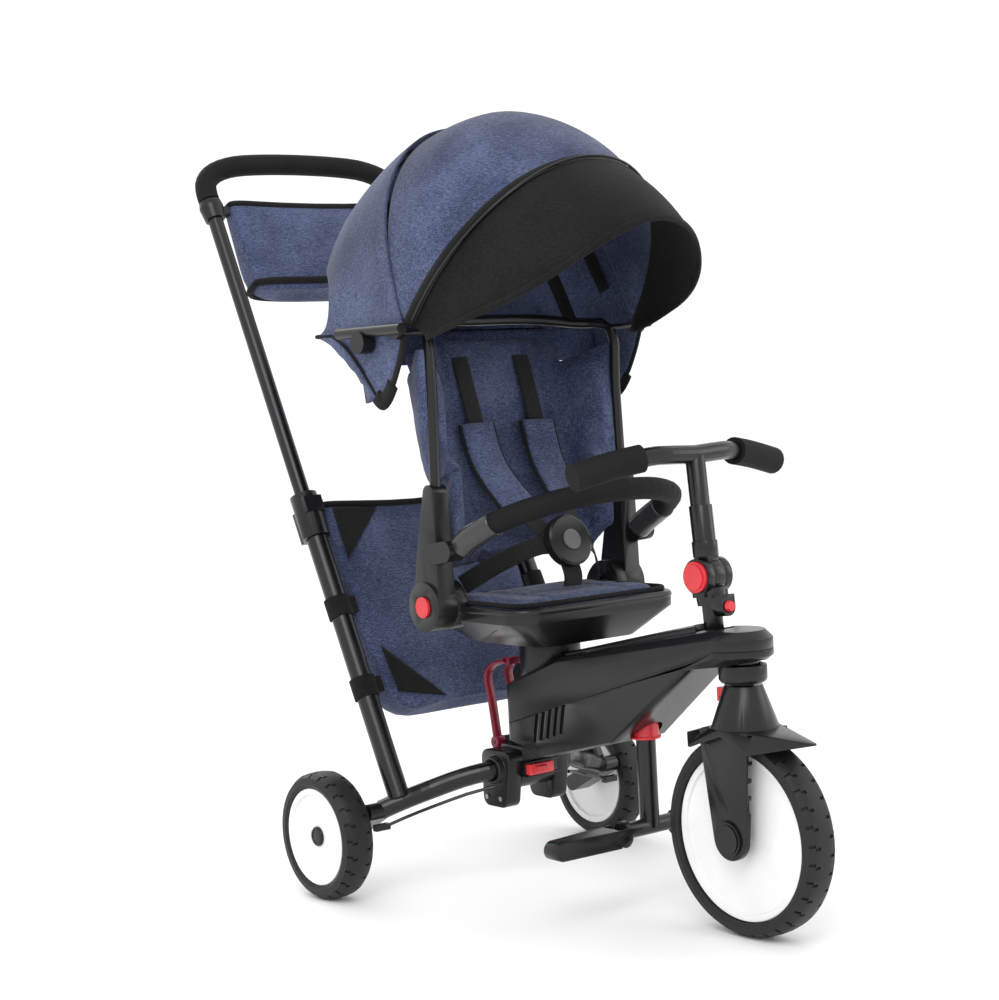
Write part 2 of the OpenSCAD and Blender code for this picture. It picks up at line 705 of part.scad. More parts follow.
pouch_h = 146;
// filled shape of the pouch under the handle: g is taken off all round
module pouch_shape(g, lift) {
    half = pole_x - upper_r - 10;
    hull() for (s = [-1, 1]) {
        translate([s * (half - 10), -4, pole_len - 12]) cylinder(h = 10 + lift, r = 10 - g, $fn = 24);
        translate([s * (half - 10), 14, pole_len - 12]) cylinder(h = 10 + lift, r = 10 - g, $fn = 24);
        translate([s * (half - 16), 2, pole_len - pouch_h + 16]) sphere(r = 14 - g, $fn = 24);
        translate([s * (half - 30), 22, pole_len - pouch_h + 34]) sphere(r = 22 - g, $fn = 24);
    }
}
module handle_pouch() {
    color(denim) place() on_pole_plane() difference() {
        pouch_shape(0, 0);
        pouch_shape(3, 20);
    }
}
// ---- seat ----
module seat_outline(z0, h, inset) {
    hull() for (s = [-1, 1]) {
        translate([s * (seat_half - 30), arm_y + 20, z0]) cylinder(h = h, r = 30 - inset, $fn = 40);
        translate([s * (seat_half - 36), arm_y - 108, z0]) cylinder(h = h, r = 36 - inset, $fn = 40);
    }
}
module seat_base() {
    color(black) place() difference() {
        union() {
            hull() {
                seat_outline(seat_z - 16, 14, 0);
                for (s = [-1, 1]) {
                    translate([s * 62, seat_y + 40, column_top + gap]) cylinder(h = 4, r = 22, $fn = 32);
                    translate([s * 58, seat_y - 62, column_top + gap]) cylinder(h = 4, r = 22, $fn = 32);
                }
            }
            translate([0, seat_y, column_top - 42]) cylinder(h = 50, r = 9);
            both() translate([0, arm_y, arm_z]) bar_x(seat_half - 20, hub_in, hub_r);
        }
        seat_outline(seat_z - 14, 60, 8);
        both() translate([0, arm_y, arm_z]) bar_x(seat_half - 60, 200, 9 + fit);
    }
}
module seat_pad() {
    color(denim) place() hull() {
        seat_outline(seat_z - 13.7, 14, 9);
        seat_outline(seat_z - 8, 18, 14);
    }
}
// the frame of the backrest: z runs up the back from the hubs
back_lean = 13.5;
module on_back() {
    translate([0, arm_y, arm_z]) rotate([-back_lean, 0, 0]) children();
}
// upright arms that turn on the hubs, and the tube that goes on from them round under the canopy
module seat_uprights() {
    frame = [[0, canopy_y + 84, canopy_z + 16], [70, canopy_y + 80, canopy_z + 16],
        [124, canopy_y + 46, canopy_z + 8], [hub_in + 10, canopy_y + 3, canopy_z - 3],
        [hub_in + 10, canopy_y, arm_z + 260], [hub_in + 13, arm_y - 14, arm_z + upright_h - 22]];
    color(black) place() {
        both() difference() {
            union() {
                plate_x(hub_in + gap, hub_in + 30, [[arm_y, arm_z]], hub_r);
                translate([hub_in + gap, arm_y, arm_z]) hull() {
                    rotate([0, 90, 0]) cylinder(h = 25.4, r = 27);
                    translate([0, -9, upright_h - 60]) rotate([0, 90, 0]) cylinder(h = 25.4, r = 16);
                    translate([2, -14, upright_h - 12]) rotate([0, 90, 0]) cylinder(h = 22, r = 11);
                }
                translate([0, arm_y, arm_z]) bar_x(hub_in - 14, hub_in + 3, 9);
            }
            translate([0, arm_y, arm_z]) bar_x(hub_in + 12, hub_in + 60, 13 + gap / 2);
        }
        sweep(full_u(smooth_path(frame, 3)), 7, 7, up = [0, 1, 0.3], n = 12);
    }
}
// padded back panel with side wings that come forward to the frame tube
module back_panel() {
    hull() {
        for (x = [24 - hub_in, hub_in - 24]) translate([x, 2, 34]) cylinder(h = 300, r = 12, $fn = 32);
        for (x = [60 - hub_in, hub_in - 60]) translate([x, 2, 34]) cylinder(h = 317, r = 12, $fn = 32);
    }
}
module back_wing() {
    hull() {
        on_back() translate([hub_in - 24, 2, 140]) cylinder(h = 172, r = 9, $fn = 32);
        translate([hub_in + 12, canopy_y - 1, arm_z + upright_h + 4])
            cylinder(h = canopy_z - 20 - arm_z - upright_h, r = 13, $fn = 32);
    }
}
module back_bolster() {
    hull() {
        on_back() translate([hub_in - 24, 2, 40]) cylinder(h = 160, r = 9, $fn = 32);
        translate([hub_in - 18, arm_y - 26, arm_z + 78]) cylinder(h = 84, r = 8, $fn = 32);
    }
}
module back_pad() {
    color(denim) place() {
        on_back() back_panel();
        both() back_wing();
        both() back_bolster();
    }
}
module arm_button() {
    place() translate([0, arm_y, arm_z]) {
        bar_x(hub_in + 14, hub_in + 33, 13);
    }
}
module arm_button_left() {
    color(red) arm_button();
}
module arm_button_right() {
    color(red) mirror([1, 0, 0]) arm_button();
}
safety_path = [[0, safety_y - 146, safety_z + 66], [54, safety_y - 139, safety_z + 63],
    [108, safety_y - 112, safety_z + 52], [hub_in - 2, safety_y - 62, safety_z + 33],
    [hub_in + 5, safety_y - 22, safety_z + 14], [hub_in + 6, safety_y - 6, safety_z + 3]];
module safety_bar() {
    color(black) place() difference() {
        union() {
            sweep(full_u(smooth_path(safety_path, 4)), 14, 14, up = [0, 0.4, 1], n = 18);
            both() translate([0, safety_y, safety_z]) bar_x(hub_in + 4, hub_in + 20, 13);
        }
        both() translate([0, safety_y, safety_z]) bar_x(hub_in - 20, hub_in + 30, 4 + fit);
    }
}
// brackets on the uprights with the pins that the safety bar turns on
module safety_clips() {
    color(black) place() both() {
        plate_x(hub_in + 20.6, hub_in + 28, [[safety_y, safety_z], [arm_y - 16, safety_z - 4]], 13);
        translate([0, safety_y, safety_z]) bar_x(hub_in + 2, hub_in + 24, 4);
    }
}
module harness() {
    shoulder = [[52, canopy_y + 58, canopy_z - 20], [50, arm_y - 4, arm_z + 200],
        [42, arm_y - 30, arm_z + 120], [20, arm_y - 62, arm_z + 74]];
    hip = [[104, arm_y - 22, arm_z + 30], [70, arm_y - 44, arm_z + 52], [26, arm_y - 70, arm_z + 66]];
    color(black) place() {
        both() sweep(smooth_path(shoulder, 3), 1.6, 12, up = [0.3, -1, 0.3], n = 8);
        both() sweep(smooth_path(hip, 3), 1.6, 12, up = [0, -1, 0.4], n = 8);
        sweep(smooth_path([[0, arm_y - 82, arm_z + 44], [0, arm_y - 90, arm_z + 24],
            [0, arm_y - 86, arm_z + 15]], 3), 1.6, 14, up = [0, -1, 0], n = 8);
    }
}
buckle_y = arm_y - 74;
buckle_z = arm_z + 68;
module on_buckle() {
    translate([0, buckle_y, buckle_z]) rotate([72, 0, 0]) children();
}
module buckle() {
    color(black) place() on_buckle() difference() {
        union() {
            cylinder(h = 12, r = 33);
            translate([0, 0, 12]) cylinder(h = 2, r1 = 33, r2 = 30);
        }
        translate([0, 0, 5]) cylinder(h = 20, r = 13 + gap / 2);
    }
}
module buckle_button() {
    color(steel) place() on_buckle() translate([0, 0, 8]) cylinder(h = 8, r = 13);
}

// ---- canopy ----
canopy_t = 3;
// one bow of the canopy at an angle from straight ahead, as a superellipse
function bow_power(a) = a < 55 ? 1 : a < 150 ? 1 - 0.2 * (a - 55) / 95 : 0.8;
// the visor's bows narrow toward the lip, and their middles stand higher than their sides
function bow_turn(a, k) = a < 53 ? 53 - (53 - a) * (46 - 16.5 * pow(sin(k), 2)) / 38 : a;
function bow_point(a, r, w, k) = let(c = cos(k), s = sin(k), q = bow_power(a), rr = r * pow(s, q),
    b = bow_turn(a, k), half = a < 53 ? w - (53 - a) * 0.4 : w)
    [half * sign(c) * pow(abs(c), q), canopy_y - rr * cos(b), canopy_z + rr * sin(b)];
bow_n = 26;
bow_first = 2;
module bow_shell(bows, w, t) {
    m = len(bows);
    row = bow_n + 1;
    outer = [for (b = bows) for (i = [0:bow_n])
        bow_point(b[0], b[1], w, bow_first + (180 - 2 * bow_first) * i / bow_n)];
    inner = [for (b = bows) for (i = [0:bow_n])
        bow_point(b[0], b[1] - t, w - t, bow_first + (180 - 2 * bow_first) * i / bow_n)];
    off = m * row;
    skin = [for (j = [0:m - 2]) for (i = [0:bow_n - 1])
        [j * row + i, (j + 1) * row + i, (j + 1) * row + i + 1, j * row + i + 1]];
    lining = [for (f = skin) [for (i = [3:-1:0]) f[i] + off]];
    start = [for (i = [0:bow_n - 1]) [i, i + 1, off + i + 1, off + i]];
    end = [for (i = [0:bow_n - 1]) let(e = (m - 1) * row) [e + i + 1, e + i, off + e + i, off + e + i + 1]];
    low = [for (j = [0:m - 2]) [(j + 1) * row, j * row, off + j * row, off + (j + 1) * row]];
    high = [for (j = [0:m - 2]) let(e = bow_n)
        [j * row + e, (j + 1) * row + e, off + (j + 1) * row + e, off + j * row + e]];
    polyhedron(concat(outer, inner), concat(skin, lining, start, end, low, high), convexity = 8);
}
// reach of the fabric from the pivots at an angle from straight ahead
function hood_reach(a) = a < 90 ? 281 - 30 * (90 - a) / 39 : a < 158 ? 281 + 41 * pow((a - 90) / 68, 2)
    : 322 - 66 * (a - 158) / 20;
module canopy_rear() {
    color(denim) place() {
        bow_shell([for (a = [178:-8.5:110]) [a, hood_reach(a)]], canopy_half, canopy_t);
        both() plate_x(canopy_half - canopy_t, canopy_half, [[canopy_y - 14, canopy_z + 2],
            [canopy_y + 124, canopy_z + 5], [canopy_y + 68, canopy_z - 64],
            [canopy_y + 46, canopy_z - 80]], 6);
    }
}
// round lug that lets a moving bow turn on the canopy's pins
module bow_lugs(x0, x1) {
    both() translate([0, canopy_y, canopy_z]) bar_x(x0, x1, 15);
}
module pin_holes() {
    both() translate([0, canopy_y, canopy_z]) bar_x(100, 300, 4 + fit);
}
module canopy_front() {
    color(denim) place() difference() {
        union() {
            bow_shell([for (a = [109:-9.3:53]) [a, min(hood_reach(a), 281) - canopy_t - 0.6]],
                canopy_half - 4, canopy_t);
            bow_lugs(canopy_half - 7.5, canopy_half - 4);
        }
        pin_holes();
    }
}
module canopy_visor() {
    color(black) place() difference() {
        union() {
            bow_shell([for (i = [0:5]) [53 - 38 * i / 5, 250 + (visor_reach - 250) * i / 5]],
                canopy_half - 9, 2.5);
            bow_lugs(canopy_half - 12, canopy_half - 9);
        }
        pin_holes();
    }
}
module canopy_clamps() {
    color(black) place() both() {
        translate([canopy_half + 9, canopy_y - 16, canopy_z + 5]) rotate([-90, 0, 0])
            cylinder(h = 137, r = 7);
        translate([0, canopy_y, canopy_z]) bar_x(canopy_half + 0.4, canopy_half + 9, 8);
        translate([0, canopy_y, canopy_z]) bar_x(hub_in + 8, canopy_half + 4, 4);
        translate([0, canopy_y + 68, canopy_z - 8]) bar_x(canopy_half + 0.4, canopy_half + 18, 14);
    }
}

// every piece
body_upper_shell();
body_lower_shell();
spine_tube();
nose_collar();
seat_column();
hub_housing();
hub_pin();
cheek_screws();
fork_crown();
front_fork();
front_fender();
fork_hub_caps();
front_axle();
stem_lower();
front_tyre();
front_disc();
fork_lock_lever();
stem_lock_button();
stem_upper();
handlebar();
handlebar_grips();
knuckle_button();
footrest_post();
footrest_collar();
foot_platform_left();
foot_platform_right();
rear_axle_tube();
hub_cheeks();
lower_poles();
pole_clamps();
brake_rods();
brake_slider();
fold_lever();
storage_bag();
bag_straps();
clamp_button_left();
clamp_button_right();
rear_tyre_left();
rear_tyre_right();
rear_disc_left();
rear_disc_right();
upper_poles();
pole_collars();
push_grip();
handle_pouch();
seat_base();
seat_pad();
seat_uprights();
back_pad();
arm_button_left();
arm_button_right();
safety_bar();
safety_clips();
harness();
buckle();
buckle_button();
canopy_clamps();
canopy_rear();
canopy_front();
canopy_visor();
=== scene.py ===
import json
import math
import bmesh
import bpy
from mathutils import Matrix, Vector, noise


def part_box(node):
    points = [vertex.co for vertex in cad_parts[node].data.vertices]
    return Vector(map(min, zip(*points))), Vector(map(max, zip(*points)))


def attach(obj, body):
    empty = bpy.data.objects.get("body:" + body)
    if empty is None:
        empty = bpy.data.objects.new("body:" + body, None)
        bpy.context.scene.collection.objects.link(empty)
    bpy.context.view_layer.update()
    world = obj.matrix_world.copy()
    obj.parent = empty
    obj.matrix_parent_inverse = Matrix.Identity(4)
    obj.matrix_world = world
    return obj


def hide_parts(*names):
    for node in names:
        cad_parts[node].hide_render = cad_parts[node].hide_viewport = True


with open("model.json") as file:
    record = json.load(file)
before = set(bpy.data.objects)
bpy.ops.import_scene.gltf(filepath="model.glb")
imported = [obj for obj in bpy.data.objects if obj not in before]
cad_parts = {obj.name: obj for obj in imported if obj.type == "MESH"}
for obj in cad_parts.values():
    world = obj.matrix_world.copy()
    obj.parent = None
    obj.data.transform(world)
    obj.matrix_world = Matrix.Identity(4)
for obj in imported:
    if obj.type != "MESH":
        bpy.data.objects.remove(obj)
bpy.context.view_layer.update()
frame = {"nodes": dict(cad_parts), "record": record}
scene = bpy.context.scene

# every length below is in millimetres from the rear axle; at() puts it in the shared frame
wheel_low, wheel_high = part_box("rear_tyre_left")
AXLE_Y = (wheel_low.y + wheel_high.y) / 2


def at(x, y, z):
    return Vector((x / 1000, AXLE_Y + y / 1000, z / 1000))


def centre(node):
    low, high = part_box(node)
    return (low + high) / 2


# ---------------------------------------------------------------- camera
def aim_camera():
    turn, rise, roll = math.radians(-37.99), math.radians(3.22), math.radians(-2.97)
    back = Vector((math.sin(turn) * math.cos(rise), -math.cos(turn) * math.cos(rise), math.sin(rise)))
    right = Vector((math.cos(turn), math.sin(turn), 0))
    up = back.cross(right)
    across = right * math.cos(roll) + up * math.sin(roll)
    tall = up * math.cos(roll) - right * math.sin(roll)
    lens = bpy.data.cameras.new("studio_camera")
    lens.lens = 72.7
    lens.sensor_width = 36
    lens.clip_end = 50
    camera = bpy.data.objects.new("studio_camera", lens)
    scene.collection.objects.link(camera)
    spot = at(0, -98.3, 495.6) + back * 2.6334
    camera.matrix_world = Matrix((across, tall, back)).transposed().to_4x4()
    camera.location = spot
    scene.camera = camera


aim_camera()


# ---------------------------------------------------------------- finishes
def new_finish(name):
    made = bpy.data.materials.new(name)
    made.use_nodes = True
    tree = made.node_tree
    return made, tree, tree.nodes["Principled BSDF"]


def node(tree, kind, links=(), **values):
    made = tree.nodes.new(kind)
    for key, value in values.items():
        if hasattr(made, key):
            setattr(made, key, value)
        else:
            made.inputs[key.replace("_", " ").title() if key != "W" else key].default_value = value
    for target, source in links:
        tree.links.new(source, made.inputs[target])
    return made


def placed(tree, scale):
    spot = tree.nodes.new("ShaderNodeTexCoord")
    return node(tree, "ShaderNodeMapping", [("Vector", spot.outputs["Object"])], Scale=scale).outputs[0]


def grain(tree, scale, size, detail=3.0):
    made = node(tree, "ShaderNodeTexNoise", [("Vector", placed(tree, scale))])
    made.inputs["Scale"].default_value = size
    made.inputs["Detail"].default_value = detail
    return made.outputs["Fac"]


def ramp(tree, source, stops):
    made = tree.nodes.new("ShaderNodeValToRGB")
    tree.links.new(source, made.inputs["Fac"])
    cells = made.color_ramp.elements
    while len(cells) < len(stops):
        cells.new(0.5)
    for cell, (spot, colour) in zip(cells, stops):
        cell.position = spot
        cell.color = (*colour, 1)
    return made.outputs["Color"]


def spread(tree, source, low, high):
    made = tree.nodes.new("ShaderNodeMapRange")
    tree.links.new(source, made.inputs["Value"])
    made.inputs["From Min"].default_value = 0.25
    made.inputs["From Max"].default_value = 0.75
    made.inputs["To Min"].default_value = low
    made.inputs["To Max"].default_value = high
    return made.outputs["Result"]


def bumped(tree, shader, source, depth, strength):
    made = tree.nodes.new("ShaderNodeBump")
    made.inputs["Distance"].default_value = depth
    made.inputs["Strength"].default_value = strength
    tree.links.new(source, made.inputs["Height"])
    tree.links.new(made.outputs["Normal"], shader.inputs["Normal"])


def mixed(tree, a, b, how="ADD"):
    made = tree.nodes.new("ShaderNodeMath")
    made.operation = how
    tree.links.new(a, made.inputs[0])
    tree.links.new(b, made.inputs[1])
    return made.outputs[0]


def hard_finish(name, dark, light, rough, size=900, depth=0.00012, metal=0.0, coat=0.0, patch=14, shine=0.5):
    made, tree, shader = new_finish(name)
    broad = grain(tree, (1, 1, 1), patch, 4)
    fine = grain(tree, (1, 1, 1), size, 2)
    tree.links.new(ramp(tree, broad, [(0.3, dark), (0.7, light)]), shader.inputs["Base Color"])
    tree.links.new(spread(tree, mixed(tree, broad, fine, "MULTIPLY"), rough[0], rough[1]),
                   shader.inputs["Roughness"])
    shader.inputs["Metallic"].default_value = metal
    shader.inputs["Coat Weight"].default_value = coat
    shader.inputs["Specular IOR Level"].default_value = shine
    bumped(tree, shader, fine, depth, 0.5)
    return made


def cloth_finish(name, dark, middle, light, sheen=0.25, thread=0.00025, mottle=1.0):
    made, tree, shader = new_finish(name)
    across = grain(tree, (1, 1, 7), 170 * mottle, 2)
    along = grain(tree, (6, 6, 1), 170 * mottle, 2)
    threads = mixed(tree, mixed(tree, across, along), grain(tree, (1, 1, 1), 9, 3))
    shade = tree.nodes.new("ShaderNodeMath")
    shade.operation = "MULTIPLY"
    shade.inputs[1].default_value = 1 / 3
    tree.links.new(threads, shade.inputs[0])
    colour = ramp(tree, shade.outputs[0], [(0.42, dark), (0.5, middle), (0.58, light)])
    tree.links.new(colour, shader.inputs["Base Color"])
    shader.inputs["Roughness"].default_value = 0.92
    shader.inputs["Specular IOR Level"].default_value = 0.2
    shader.inputs["Sheen Weight"].default_value = sheen
    weave = mixed(tree, wave(tree, "X", 520), wave(tree, "Z", 520), "MULTIPLY")
    bumped(tree, shader, mixed(tree, weave, mixed(tree, across, along)), thread, 0.6)
    return made


def wave(tree, way, size):
    made = tree.nodes.new("ShaderNodeTexWave")
    made.bands_direction = way
    made.inputs["Scale"].default_value = size
    made.inputs["Distortion"].default_value = 0.6
    tree.links.new(placed(tree, (1, 1, 1)), made.inputs["Vector"])
    return made.outputs["Fac"]


BLUE_CLOTH = cloth_finish("blue_melange_cloth",
    (0.02, 0.027, 0.062), (0.047, 0.062, 0.128), (0.1, 0.125, 0.22), 0.15)
BLACK_CLOTH = cloth_finish("black_canopy_cloth",
    (0.004, 0.004, 0.0045), (0.007, 0.007, 0.008), (0.012, 0.012, 0.013), 0.04)
WEBBING = cloth_finish("black_webbing",
    (0.006, 0.006, 0.006), (0.012, 0.012, 0.013), (0.024, 0.024, 0.026), 0.1, 0.0004, 2)
# the blue cloth darkened for the bag insides: painted shade, since the cloth inside is the same blue as the outside
SHADED_BLUE_INSIDE = cloth_finish("blue_cloth_painted_shade", (0.012, 0.015, 0.032), (0.02, 0.025, 0.05), (0.04, 0.046, 0.08))
BINDING = cloth_finish("black_binding",
    (0.003, 0.003, 0.004), (0.007, 0.007, 0.008), (0.014, 0.014, 0.015), 0.04, 0.0003, 2)
PLASTIC = hard_finish("satin_black_plastic", (0.005, 0.005, 0.006), (0.01, 0.01, 0.011), (0.28, 0.42), shine=0.36)
METAL = hard_finish("black_powder_coat",
    (0.004, 0.004, 0.005), (0.008, 0.008, 0.009), (0.24, 0.36), 1400, 0.00008, shine=0.42)
RUBBER = hard_finish("tyre_rubber", (0.009, 0.009, 0.01), (0.016, 0.016, 0.017), (0.5, 0.68), 600, 0.0003, shine=0.3)
FOAM = hard_finish("black_foam", (0.004, 0.004, 0.005), (0.009, 0.009, 0.01), (0.75, 0.9), 1100, 0.0006, shine=0.2)
RED = hard_finish("red_plastic", (0.58, 0.022, 0.032), (0.68, 0.035, 0.045), (0.3, 0.42))
CLARET = hard_finish("claret_plastic", (0.17, 0.006, 0.02), (0.24, 0.01, 0.032), (0.3, 0.42))
WHITE = hard_finish("white_plastic", (0.78, 0.78, 0.78), (0.86, 0.86, 0.86), (0.3, 0.42), 700, 0.00005)
STEEL = hard_finish("dark_steel", (0.22, 0.22, 0.23), (0.4, 0.4, 0.41), (0.25, 0.45), 500, 0.0001, metal=1.0)
SOCKET = hard_finish("smooth_dark_plastic", (0.028, 0.028, 0.03), (0.04, 0.04, 0.043), (0.24, 0.36))
GUNMETAL = hard_finish("grey_button", (0.09, 0.09, 0.095), (0.13, 0.13, 0.135), (0.3, 0.4))

by_slot = {"tyre": RUBBER, "black_plastic": PLASTIC, "black_metal": METAL, "red_plastic": RED,
           "claret_plastic": CLARET, "white_plastic": WHITE, "blue_fabric": BLUE_CLOTH,
           "black_fabric": BLACK_CLOTH, "foam": FOAM, "steel": STEEL}
slot_of = {part["node"]: part["material_slot"] for part in frame["record"]["subparts"]}
for name, obj in frame["nodes"].items():
    obj.data.materials.clear()
    obj.data.materials.append(by_slot[slot_of[name]])
frame["nodes"]["buckle_button"].data.materials[0] = GUNMETAL
frame["nodes"]["brake_rods"].data.materials[0] = METAL


# ---------------------------------------------------------------- making pieces
def stand(name, bm, finish, body, nodes=(), smooth=True, angle=None):
    """A finished piece from a bmesh whose vertices are already in the shared frame."""
    bmesh.ops.remove_doubles(bm, verts=bm.verts, dist=1e-5)
    bmesh.ops.recalc_face_normals(bm, faces=bm.faces)
    mesh = bpy.data.meshes.new(name)
    bm.to_mesh(mesh)
    bm.free()
    obj = bpy.data.objects.new(name, mesh)
    scene.collection.objects.link(obj)
    mesh.materials.append(finish)
    if angle is None:
        for face in mesh.polygons:
            face.use_smooth = smooth
    else:
        for face in mesh.polygons:
            face.use_smooth = True
        mesh.set_sharp_from_angle(angle=angle)
    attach(obj, body)
    if nodes:
        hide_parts(*nodes)
    return obj


def thicken(obj, depth, offset=-1.0):
    made = obj.modifiers.new("cloth_thickness", "SOLIDIFY")
    made.thickness = depth
    made.offset = offset
    return made


def smooth_more(obj, levels=1):
    made = obj.modifiers.new("subdivision", "SUBSURF")
    made.levels = levels
    made.render_levels = levels
    return made


def loft(bm, rings, caps=(True, True)):
    """Bridges a row of closed rings, each a list of the same number of points."""
    ends = []
    before = None
    for ring in rings:
        verts = bmesh.ops.create_circle(bm, cap_ends=False, segments=len(ring), radius=0.01)["verts"]
        for vert, spot in zip(verts, ring):
            vert.co = spot
        edges = list({edge for vert in verts for edge in vert.link_edges})
        if before:
            bmesh.ops.bridge_loops(bm, edges=before + edges)
        ends = [ends[0] if ends else edges, edges]
        before = edges
    for wanted, edges in zip(caps, ends):
        if wanted:
            bmesh.ops.contextual_create(bm, geom=edges)


def curve_points(knots, steps=8):
    """A smooth line through the knots."""
    out = []
    last = len(knots) - 1
    for i in range(last):
        a, b, c, d = knots[max(i - 1, 0)], knots[i], knots[i + 1], knots[min(i + 2, last)]
        for k in range(steps):
            t = k / steps
            out.append(0.5 * (2 * b + (c - a) * t + (2 * a - 5 * b + 4 * c - d) * t * t
                              + (3 * b - a - 3 * c + d) * t * t * t))
    out.append(knots[last])
    return out


def cord_rings(points, wide, thick, face, sides=12, square=1.0):
    """Rings along points: wide across and thick in the direction of face."""
    rings = []
    for i, spot in enumerate(points):
        along = (points[min(i + 1, len(points) - 1)] - points[max(i - 1, 0)]).normalized()
        out = face(i / (len(points) - 1), spot) if callable(face) else face
        side = along.cross(out).normalized()
        out = side.cross(along).normalized()
        ring = []
        for k in range(sides):
            turn = 2 * math.pi * k / sides
            c, s = math.cos(turn), math.sin(turn)
            c = math.copysign(abs(c) ** square, c)
            s = math.copysign(abs(s) ** square, s)
            ring.append(spot + side * (wide / 2 * c) + out * (thick / 2 * s))
        rings.append(ring)
    return rings


def tube(name, points, radius, finish, body, nodes=(), sides=12):
    bm = bmesh.new()
    loft(bm, cord_rings(points, 2 * radius, 2 * radius, Vector((0.05, 0.1, 1)), sides))
    return stand(name, bm, finish, body, nodes)


def band(name, points, wide, thick, face, finish, body, nodes=(), sides=12):
    bm = bmesh.new()
    loft(bm, cord_rings(points, wide, thick, face, sides, 0.45))
    return stand(name, bm, finish, body, nodes)


def softened(node_name, width, angle=34):
    """A copy of a hard piece with merged faces, rounded edges and smooth shading."""
    source = frame["nodes"][node_name]
    bm = bmesh.new()
    bm.from_mesh(source.data)
    bmesh.ops.remove_doubles(bm, verts=bm.verts, dist=2e-5)
    bmesh.ops.dissolve_limit(bm, angle_limit=math.radians(1.5), verts=bm.verts, edges=bm.edges)
    mesh = bpy.data.meshes.new(node_name + "_finished")
    bm.to_mesh(mesh)
    bm.free()
    obj = bpy.data.objects.new(node_name + "_finished", mesh)
    scene.collection.objects.link(obj)
    mesh.materials.append(source.data.materials[0])
    for face in mesh.polygons:
        face.use_smooth = True
    made = obj.modifiers.new("edges", "BEVEL")
    made.width = width
    made.segments = 2
    made.limit_method = "ANGLE"
    made.angle_limit = math.radians(angle)
    made.harden_normals = True
    made.use_clamp_overlap = True
    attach(obj, body_of[node_name])
    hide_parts(node_name)


body_of = {name: body for body, names in frame["record"]["behaviour"]["bodies"].items() for name in names}
EDGE_WIDTHS = {
    "body_upper_shell": 0.003, "body_lower_shell": 0.002, "seat_base": 0.002, "seat_uprights": 0.002,
    "hub_housing": 0.0015, "hub_cheeks": 0.0015, "fork_crown": 0.0015, "front_fork": 0.0015,
    "front_fender": 0.001, "stem_lower": 0.0008, "stem_upper": 0.0008, "pole_clamps": 0.0012,
    "foot_platform_left": 0.0015, "foot_platform_right": 0.0015, "fold_lever": 0.0006,
    "footrest_collar": 0.0006, "brake_slider": 0.001, "seat_column": 0.0012, "nose_collar": 0.001}
for name, width in EDGE_WIDTHS.items():
    softened(name, width)


# ---------------------------------------------------------------- tyres and wheels
def tyre(name, body, node_name, blocks):
    low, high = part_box(node_name)
    mid = (low + high) / 2
    radius = (high.z - low.z) / 2
    half = (high.x - low.x) / 2
    inner = radius * (0.845 if blocks > 30 else 0.77)
    shape = [(half - 0.002, inner), (half - 0.0005, inner + 0.004), (half, radius - 0.014),
             (half - 0.0012, radius - 0.006), (half * 0.66, radius - 0.0014),
             (half * 0.34, radius - 0.0003), (0, radius)]
    shape = shape + [(-x, r) for x, r in reversed(shape[:-1])]
    bm = bmesh.new()
    verts = [bm.verts.new(mid + Vector((x, 0, r))) for x, r in shape]
    edges = [bm.edges.new((a, b)) for a, b in zip(verts, verts[1:])]
    bm.edges.new((verts[-1], verts[0]))
    bmesh.ops.spin(bm, geom=list(bm.verts) + list(bm.edges), cent=mid, axis=(1, 0, 0), angle=2 * math.pi,
                   steps=blocks * 6, use_merge=True, use_duplicate=False)
    bmesh.ops.remove_doubles(bm, verts=bm.verts, dist=1e-5)
    bmesh.ops.recalc_face_normals(bm, faces=bm.faces)
    grooves = []
    for face in bm.faces:
        spot = face.calc_center_median() - mid
        reach = math.hypot(spot.y, spot.z)
        side = abs(spot.x) / half
        turn = math.atan2(spot.z, spot.y) / (2 * math.pi) * blocks
        slant = (turn + 0.35 * side + (0.5 if spot.x > 0 else 0)) % 1
        if reach > radius - 0.008 and 0.3 < side < 1.1 and slant < 0.17:
            grooves.append(face)
    bmesh.ops.inset_region(bm, faces=grooves, thickness=0.0006, depth=-0.0022, use_even_offset=True)
    return stand(name, bm, RUBBER, body, [node_name], angle=math.radians(32))


tyre("front_tyre_tread", "front_wheel", "front_tyre", 34)
tyre("rear_tyre_tread_left", "rear_wheel_left", "rear_tyre_left", 24)
tyre("rear_tyre_tread_right", "rear_wheel_right", "rear_tyre_right", 24)


def wheel_face(name, body, node_name, hub):
    """Dished disc on both faces, turned from one profile."""
    low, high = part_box(node_name)
    mid = (low + high) / 2
    rim = (high.z - low.z) / 2
    half = (high.x - low.x) / 2
    shape = [(hub, half - 0.004), (hub + 0.003, half - 0.0035), (hub + 0.004, half - 0.0062),
             (rim * 0.55, half - 0.0052), (rim * 0.8, half - 0.0045), (rim - 0.009, half - 0.004),
             (rim - 0.0075, half - 0.0008), (rim - 0.001, half), (rim, half - 0.001)]
    bm = bmesh.new()
    half_loop = [bm.verts.new(mid + Vector((x, 0, r))) for r, x in shape]
    other = [bm.verts.new(mid + Vector((-x, 0, r))) for r, x in reversed(shape)]
    loop = half_loop + other
    for a, b in zip(loop, loop[1:] + loop[:1]):
        bm.edges.new((a, b))
    bmesh.ops.spin(bm, geom=list(bm.verts) + list(bm.edges), cent=mid, axis=(1, 0, 0), angle=2 * math.pi,
                   steps=96, use_merge=True, use_duplicate=False)
    return stand(name, bm, WHITE, body, [node_name], angle=math.radians(35))


wheel_face("front_wheel_face", "front_wheel", "front_disc", 0.0056)
wheel_face("rear_wheel_face_left", "rear_wheel_left", "rear_disc_left", 0.0062)
wheel_face("rear_wheel_face_right", "rear_wheel_right", "rear_disc_right", 0.0062)


